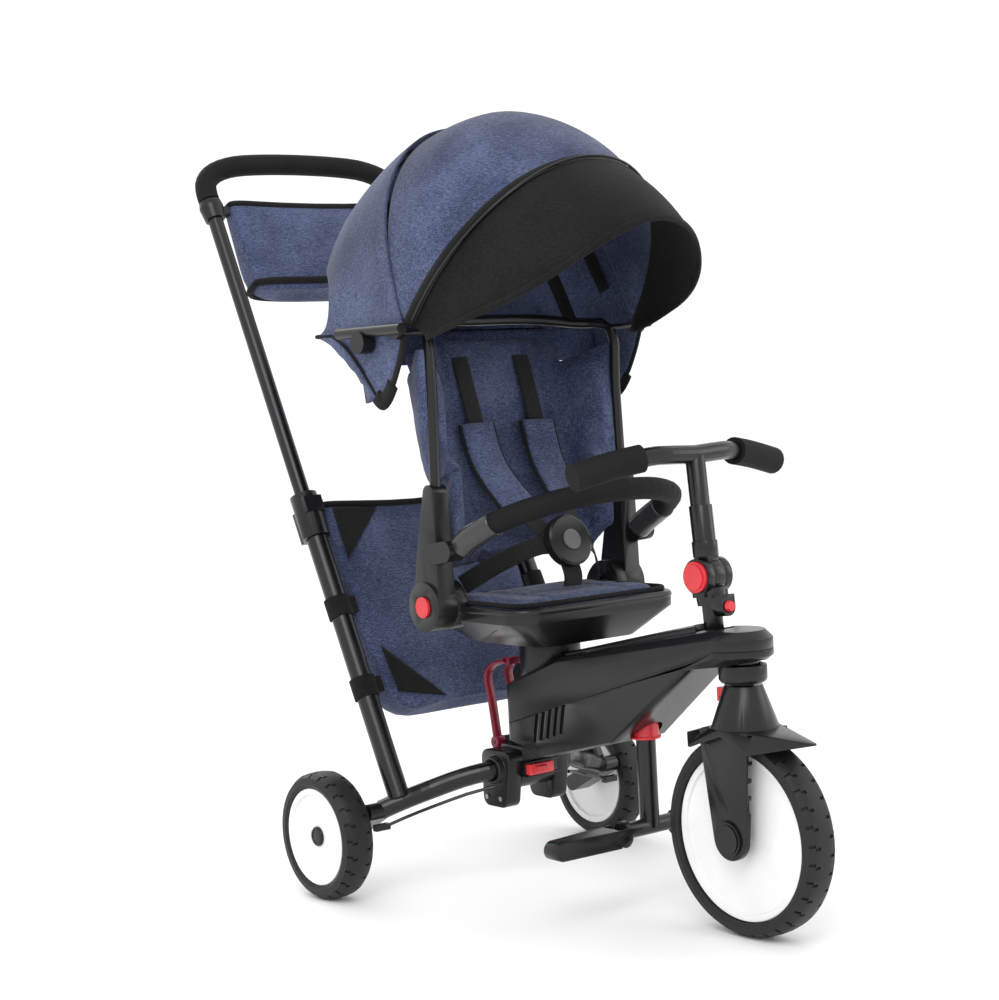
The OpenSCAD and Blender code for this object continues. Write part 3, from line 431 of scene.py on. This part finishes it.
def hub_cap(name, body, spot, side, radius, finish):
    """Domed cap with a rim, over the end of an axle."""
    bm = bmesh.new()
    shape = [(radius, 0), (radius, 0.0025), (radius - 0.0015, 0.0042), (radius * 0.72, 0.0046),
             (radius * 0.66, 0.0034), (radius * 0.3, 0.0038), (0, 0.0042)]
    verts = [bm.verts.new(spot + Vector((side * h, 0, r))) for r, h in shape]
    for a, b in zip(verts, verts[1:]):
        bm.edges.new((a, b))
    bmesh.ops.spin(bm, geom=list(bm.verts) + list(bm.edges), cent=spot, axis=(1, 0, 0), angle=2 * math.pi,
                   steps=40, use_merge=True, use_duplicate=False)
    return stand(name, bm, finish, body, angle=math.radians(35))


for side, word in ((1, "left"), (-1, "right")):
    low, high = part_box("rear_disc_" + word)
    face_x = (high.x if side > 0 else -low.x) * side
    mid = centre("rear_disc_" + word)
    hub_cap("rear_hub_cap_" + word, "rear_wheel_" + word, Vector((face_x - side * 0.0062, mid.y, mid.z)), side, 0.0125,
            PLASTIC)


# ---------------------------------------------------------------- canopy
PIVOT_Y, PIVOT_Z, HOOD_HALF = -166, 714, 192


def hood_reach(a):
    if a < 90:
        return 281 - 30 * (90 - a) / 39
    if a < 158:
        return 281 + 41 * ((a - 90) / 68) ** 2
    return 322 - 66 * (a - 158) / 20


def bow(a, reach, half, k):
    """A point on the canopy's bow at a degrees from straight ahead; k runs from 0 on the left over to 180."""
    power = 1 if a < 55 else 1 - 0.2 * (a - 55) / 95 if a < 150 else 0.8
    c, s = math.cos(math.radians(k)), max(math.sin(math.radians(k)), 0)
    rise = reach * s ** power
    x = half * math.copysign(abs(c) ** power, c)
    return x, PIVOT_Y - rise * math.cos(math.radians(a)), PIVOT_Z + rise * math.sin(math.radians(a))


FLAP_KNOTS = ((-8, -2), (4, -30), (20, -58), (38, -79), (52, -80), (70, -62), (94, -36), (122, -12), (150, 3))
FLAP = curve_points([Vector(knot) for knot in FLAP_KNOTS], 8)


def flap(t):
    """Lower edge of the side flap, from its front corner past its tip to the rear hem, beside the pivot."""
    spot = min(max(t, 0), 1) * (len(FLAP) - 1)
    i = min(int(spot), len(FLAP) - 2)
    return FLAP[i].lerp(FLAP[i + 1], spot - i)


def fade(x):
    x = min(max(x, 0), 1)
    return x * x * (3 - 2 * x)


def hood_sheet(name, place, columns, rows, finish, body, nodes, lining, depth):
    bm = bmesh.new()
    bmesh.ops.create_grid(bm, x_segments=columns, y_segments=rows, size=1)
    for vert in bm.verts:
        u, v = (vert.co.x + 1) / 2, (vert.co.y + 1) / 2
        vert.co = at(*place(u, v))
    obj = stand(name, bm, finish, body, nodes)
    obj.data.materials.append(lining)
    made = thicken(obj, depth)
    made.material_offset = 1
    made.material_offset_rim = 0
    made.use_even_offset = True
    return obj


def rear_place(u, v):
    a = 110 + 68 * v
    k = 180 * u
    sag = 2.6 * math.sin(math.pi * ((v * 2) % 1)) * math.sin(math.radians(k)) ** 0.6
    ripple = 1.4 * noise.noise(Vector((u * 9, v * 3, 2.0)))
    x, y, z = bow(a, hood_reach(a) - sag + ripple, HOOD_HALF - 0.4, k)
    edge = min(k, 180 - k)
    drop = 1 - fade(edge / 40)
    fy, fz = flap(v)
    return x, y + fy * drop, z + fz * drop


def front_place(u, v):
    a = 109 - 56 * v
    k = 3 + 174 * u
    sag = 2.2 * math.sin(math.pi * v) * math.sin(math.radians(k))
    ripple = 1.2 * noise.noise(Vector((u * 8, v * 3, 7.0)))
    return bow(a, min(hood_reach(a), 281) - 3.6 - sag + ripple, HOOD_HALF - 4, k)


def visor_place(u, v):
    k = 3 + 174 * u
    a = 53 - v * (46 - 16.5 * math.sin(math.radians(k)) ** 2)
    reach = 250 + 42 * v
    x, y, z = bow(a, reach - 2.5 * math.sin(math.pi * v), HOOD_HALF - 9 - 15.2 * v, k)
    hang = 1 - fade(min(k, 180 - k) / 24)
    return x, y - 4 * hang * v, z - 8 * hang * v


def skirt_place(u, v):
    """The strip of cloth that hangs behind the cushion, from the rear hem."""
    k = 14 + 152 * u
    x, y, z = bow(178, hood_reach(178) - 3 - 14 * v, HOOD_HALF - 3, k)
    return x, y, z - 44 * v


skirt_cloth = hood_sheet("canopy_rear_skirt", skirt_place, 64, 8, BLUE_CLOTH,
                         "backrest", [], BLUE_CLOTH, 0.0018)
rear_cloth = hood_sheet("canopy_rear_cloth", rear_place, 120, 48, BLUE_CLOTH,
                        "backrest", ["canopy_rear"], BLUE_CLOTH, 0.0022)
front_cloth = hood_sheet("canopy_front_cloth", front_place, 96, 34, BLUE_CLOTH,
                         "hood_front", ["canopy_front"], BLUE_CLOTH, 0.0022)
visor_cloth = hood_sheet("canopy_visor_cloth", visor_place, 96, 24, BLACK_CLOTH,
                         "hood_visor", ["canopy_visor"], BLACK_CLOTH, 0.002)


def edge_line(place, v, steps=72, lo=0.0, hi=1.0):
    return [at(*place(lo + (hi - lo) * i / steps, v)) for i in range(steps + 1)]


def side_line(place, u, steps=60):
    return [at(*place(u, i / steps)) for i in range(steps + 1)]


def outward(f, spot):
    return spot - at(0, PIVOT_Y, PIVOT_Z)


def moved(points, forward, up):
    return [p + Vector((0, -forward, up)) for p in points]


def inside_rib(name, v, shrink):
    """A black band inside the rear cloth, drawn in toward the pivots so that it doesn't show outside."""
    pivot = at(0, PIVOT_Y, PIVOT_Z)
    line = [p * (1 - shrink) + pivot * shrink for p in edge_line(rear_place, v, lo=0.08, hi=0.92)]
    return band(name, line, 0.018, 0.002, outward, BINDING, "backrest", sides=8)


rear_edges = [
    tube("canopy_rear_hem", edge_line(rear_place, 1), 0.0026, BINDING, "backrest", sides=8),
    inside_rib("canopy_rib_rear", 0.5, 0.035),
    inside_rib("canopy_rib_middle", 0.14, 0.04)]
for u, word, way in ((0, "left", 1), (1, "right", -1)):
    line = side_line(rear_place, u)
    sideways = Vector((way, 0, 0))
    rear_edges += [
        band("canopy_flap_edge_" + word, line[:30], 0.009, 0.004, sideways,
             BINDING, "backrest", sides=8),
        band("canopy_flap_hem_" + word, line[16:34], 0.022, 0.0046, sideways,
             BINDING, "backrest", sides=8),
        tube("canopy_flap_piping_" + word, line[32:], 0.0024, BINDING, "backrest", sides=8)]
zip_line = edge_line(front_place, 1)
front_edges = [
    band("canopy_zip_band", zip_line, 0.013, 0.0036, outward, BINDING, "hood_front", sides=8),
    tube("canopy_zip_teeth", moved(zip_line, 0.0072, -0.002), 0.0017,
         PLASTIC, "hood_front", sides=8)]
visor_edges = [
    band("visor_lip_trim", edge_line(visor_place, 1), 0.009, 0.0042, outward,
         BINDING, "hood_visor", sides=8),
    tube("visor_zip_teeth", moved(edge_line(visor_place, 0), 0.0085, 0.001), 0.0017,
         PLASTIC, "hood_visor", sides=8)]


# ---------------------------------------------------------------- bags
LEAN = math.radians(25.9)
FOOT = (-68, 129.5)


def on_pole(x, y, z):
    """From the push poles' slanted plane: z up the pole, y out behind it."""
    return at(x, FOOT[0] + y * math.cos(LEAN) + z * math.sin(LEAN), FOOT[1] - y * math.sin(LEAN) + z * math.cos(LEAN))


def bag_rings(levels, sides=72):
    """Rings of a sagging bag: each level is height, half width, front and back depth and squareness."""
    rings = []
    for z, half, front, back, square, droop in levels:
        ring = []
        for k in range(sides):
            turn = 2 * math.pi * k / sides
            c, s = math.cos(turn), math.sin(turn)
            x = half * math.copysign(abs(c) ** square, c)
            y = (back if s > 0 else front) * abs(s) ** square
            dip = droop * (1 - (x / half) ** 2) if half > 1 else 0
            wobble = 1.6 * noise.noise(Vector((x * 0.02, y * 0.03, z * 0.02)))
            ring.append(on_pole(x, y + wobble, z - dip))
        rings.append(ring)
    return rings


# each level of a bag: height up the poles, half width, front and back depth, squareness and sag
BAG = [(118, 40, -6, 20, 0.7, 0), (104, 92, -10, 34, 0.6, -6), (112, 118, -12, 50, 0.55, 0),
       (136, 132, -13, 68, 0.52, 0), (170, 140, -13.5, 82, 0.5, 0), (215, 144, -14, 90, 0.5, 0),
       (260, 145, -14, 88, 0.5, 0), (305, 145, -14, 76, 0.5, 0), (350, 144, -14, 58, 0.5, 0),
       (385, 143, -14, 44, 0.5, 4), (406, 142, -14, 38, 0.5, 10)]
POUCH = [(741, 60, -4, 16, 0.7, 0), (733, 108, -9, 30, 0.6, 0), (744, 132, -12, 40, 0.5, 0),
         (766, 137, -14, 42, 0.45, 0), (800, 138, -14, 36, 0.45, 0), (840, 138, -14, 28, 0.42, 0),
         (866, 138, -14, 24, 0.4, 3), (874, 137, -14, 23, 0.4, 5)]


def bag_shell(name, levels, body, node_name, wall):
    bm = bmesh.new()
    loft(bm, bag_rings(levels), (True, False))
    obj = stand(name, bm, BLUE_CLOTH, body, [node_name])
    # the inner wall gets the darker blue: painted shade inside the bag
    obj.data.materials.append(SHADED_BLUE_INSIDE)
    made = thicken(obj, wall)
    made.material_offset = 1
    made.material_offset_rim = 0
    smooth_more(obj)
    return obj


def rim_binding(name, level, radius, body):
    ring = bag_rings([level])[0]
    tube(name, ring + [ring[0]], radius, BINDING, body, sides=10)


def patch(name, corners, body):
    """A three-cornered cloth panel sewn on a bag's front, from its corners in the poles' plane."""
    bm = bmesh.new()
    bmesh.ops.create_grid(bm, x_segments=8, y_segments=8, size=1)
    a, b, c = (Vector(p) for p in corners)
    for vert in bm.verts:
        u, v = (vert.co.x + 1) / 2, (vert.co.y + 1) / 2
        spot = a + (b - a) * u + (c - a) * v * (1 - u)
        vert.co = on_pole(spot.x, spot.y, spot.z)
    obj = stand(name, bm, BLACK_CLOTH, body)
    thicken(obj, 0.0016, 0)


bag_shell("storage_bag_shell", BAG, "rear_frame", "storage_bag", 0.0025)
bag_shell("handle_pouch_shell", POUCH, "push_handle", "handle_pouch", 0.0022)
rim_binding("storage_bag_binding", BAG[-1], 0.0045, "rear_frame")
rim_binding("handle_pouch_binding", POUCH[-1], 0.004, "push_handle")
rim_binding("handle_pouch_base_band", (748, 133, -12.6, 40.6, 0.5, 0), 0.0052, "push_handle")
for way, word in ((1, "left"), (-1, "right")):
    top_corners = [(way * 136, -16.4, 398), (way * 66, -16.4, 392), (way * 137, -16.4, 322)]
    low_corners = [(way * 124, -15.2, 132), (way * 52, -13.6, 116), (way * 130, -16.2, 196)]
    patch("bag_top_panel_" + word, top_corners, "rear_frame")
    patch("bag_low_panel_" + word, low_corners, "rear_frame")


# ---------------------------------------------------------------- padded seat
def copy_of(node_name, name):
    bm = bmesh.new()
    bm.from_mesh(frame["nodes"][node_name].data)
    bmesh.ops.remove_doubles(bm, verts=bm.verts, dist=1e-5)
    mesh = bpy.data.meshes.new(name)
    bm.to_mesh(mesh)
    bm.free()
    obj = bpy.data.objects.new(name, mesh)
    scene.collection.objects.link(obj)
    return obj


def settled(obj):
    """Applies every modifier on obj."""
    shown = obj.evaluated_get(bpy.context.evaluated_depsgraph_get())
    mesh = bpy.data.meshes.new_from_object(shown)
    obj.modifiers.clear()
    obj.data = mesh


def puff(obj, voxel, pressure, cap, shrink):
    """Remeshes a pad, draws it in a little and lets cloth pressure swell it."""
    made = obj.modifiers.new("remesh", "REMESH")
    made.mode = "VOXEL"
    made.voxel_size = voxel
    settled(obj)
    for vert in obj.data.vertices:
        vert.co -= vert.normal * shrink
    start = [vert.co.copy() for vert in obj.data.vertices]
    cloth = obj.modifiers.new("cloth", "CLOTH")
    cloth.settings.use_pressure = True
    cloth.settings.uniform_pressure_force = pressure
    cloth.settings.effector_weights.gravity = 0
    cloth.settings.quality = 4
    cloth.point_cache.frame_start = 1
    cloth.point_cache.frame_end = 20
    for step in range(1, 21):
        scene.frame_set(step)
    settled(obj)
    scene.frame_set(1)
    for vert, first in zip(obj.data.vertices, start):
        moved = vert.co - first
        if moved.length > cap:
            vert.co = first + moved * (cap / moved.length)


def pad(node_name, name, body, voxel, pressure, cap, shrink, shape):
    obj = copy_of(node_name, name)
    puff(obj, voxel, pressure, cap, shrink)
    for vert in obj.data.vertices:
        vert.co += vert.normal * shape(vert.co, vert.normal)
    for face in obj.data.polygons:
        face.use_smooth = True
    obj.data.materials.clear()
    obj.data.materials.append(BLUE_CLOTH)
    smooth_more(obj)
    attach(obj, body)
    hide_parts(node_name)
    return obj


def groove(distance, width, depth):
    return -depth * math.exp(-(distance / width) ** 2)


def seat_shape(co, normal):
    x, y = co.x * 1000, (co.y - AXLE_Y) * 1000
    if normal.z < 0.2:
        return 0
    return groove(abs(x) - 62, 3.5, 0.004) + groove(y + 215, 3.5, 0.0035) - 0.002


def back_shape(co, normal):
    x, z = co.x * 1000, co.z * 1000
    if normal.y > 0.3:
        return 0
    line = groove(abs(x) - 74 - (z - 500) * 0.02, 4, 0.006)
    cross = groove(z - 520, 4, 0.004) if abs(x) < 74 else 0
    hollow = -0.004 * math.exp(-(x / 60) ** 2)
    return line + cross + hollow


pad("seat_pad", "seat_cushion", "seat", 0.005, 4, 0.008, 0.004, seat_shape)
pad("back_pad", "back_cushion", "backrest", 0.006, 4, 0.009, 0.004, back_shape)

def seat_line(inset, z):
    """The rounded outline of the seat, drawn in from its edge."""
    ring = []
    for x, y, r, start in ((102, -133, 30, 0), (-102, -133, 30, 90), (-96, -261, 36, 180), (96, -261, 36, 270)):
        for step in range(9):
            turn = math.radians(start + 90 * step / 8)
            ring.append(at(x + (r - inset) * math.cos(turn), y + (r - inset) * math.sin(turn), z))
    return ring + [ring[0]]


tube("seat_piping", seat_line(11, 378), 0.0034, BINDING, "seat", sides=10)
tube("seat_base_rim", seat_line(4, 370), 0.0052, PLASTIC, "seat", sides=10)
for way, word in ((1, "left"), (-1, "right")):
    socket = curve_points([at(way * 145.5, -205, 450.5), at(way * 144.5, -221, 461),
                           at(way * 140.5, -246, 473), at(way * 137, -262, 480.5)], 5)
    tube("safety_bar_socket_" + word, socket, 0.0158, SOCKET, "child_bar", sides=28)

# ---------------------------------------------------------------- harness
BACK = math.radians(13.5)


def on_back(x, y, z):
    """z runs up the backrest from the hubs and y points behind it."""
    return at(x, -153 + y * math.cos(BACK) + z * math.sin(BACK), 376 - y * math.sin(BACK) + z * math.cos(BACK))


front_way = Vector((0, -1, 0.25))
for side, word in ((1, "left"), (-1, "right")):
    line = curve_points([on_back(side * 50, -14, 312), on_back(side * 50, -20, 240), on_back(side * 48, -27, 170),
                         at(side * 40, -184, 495), at(side * 22, -216, 458)])
    band("shoulder_strap_" + word, line, 0.026, 0.0022, front_way, WEBBING, "backrest")
    padline = line[10:26]
    shoulder = band("shoulder_pad_" + word, padline, 0.05, 0.012, front_way,
                    BLUE_CLOTH, "backrest", sides=20)
    band("shoulder_pad_binding_" + word, padline, 0.0585, 0.0045, front_way,
         BINDING, "backrest", sides=16)
    hip = curve_points([at(side * 112, -158, 398), at(side * 84, -186, 420),
                        at(side * 52, -212, 438), at(side * 24, -226, 445)])
    band("hip_strap_" + word, hip, 0.025, 0.0022, Vector((0, -1, 0.6)),
                       WEBBING, "backrest")
crotch = curve_points([at(0, -232, 424), at(0, -240, 404), at(0, -238, 390)])
band("crotch_strap", crotch, 0.03, 0.003, Vector((0, -1, 0)), WEBBING, "backrest")
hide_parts("harness")


# ---------------------------------------------------------------- studio
def light(name, spot, size, power, target):
    lamp = bpy.data.lights.new(name, "AREA")
    lamp.shape = "SQUARE"
    lamp.size = size
    lamp.energy = power
    obj = bpy.data.objects.new(name, lamp)
    scene.collection.objects.link(obj)
    obj.location = spot
    obj.rotation_euler = (Vector(target) - Vector(spot)).to_track_quat("-Z", "Y").to_euler()


scene.view_settings.view_transform = "Standard"
light("key_softbox", (-2.4, -2.2, 3.2), 2.2, 60, (0, 0, 0.4))
light("fill_softbox", (2.8, -2.4, 1.8), 2.0, 22, (0, 0, 0.5))
light("rim_softbox", (0.5, 3.2, 2.6), 2.4, 34, (0, 0, 0.6))
world = bpy.data.worlds.new("studio")
scene.world = world
world.use_nodes = True
world.node_tree.nodes["Background"].inputs[0].default_value = (1, 1, 1, 1)
world.node_tree.nodes["Background"].inputs[1].default_value = 1.12

bm = bmesh.new()
bmesh.ops.create_circle(bm, cap_ends=True, segments=64, radius=14)
mesh = bpy.data.meshes.new("studio_floor")
bm.to_mesh(mesh)
bm.free()
floor = bpy.data.objects.new("studio_floor", mesh)
scene.collection.objects.link(floor)
made, tree, shader = new_finish("pale_floor")
pale = ramp(tree, grain(tree, (1, 1, 1), 2, 2), [(0.3, (0.93, 0.93, 0.93)), (0.7, (0.96, 0.96, 0.96))])
tree.links.new(pale, shader.inputs["Base Color"])
shader.inputs["Roughness"].default_value = 0.7
mesh.materials.append(made)
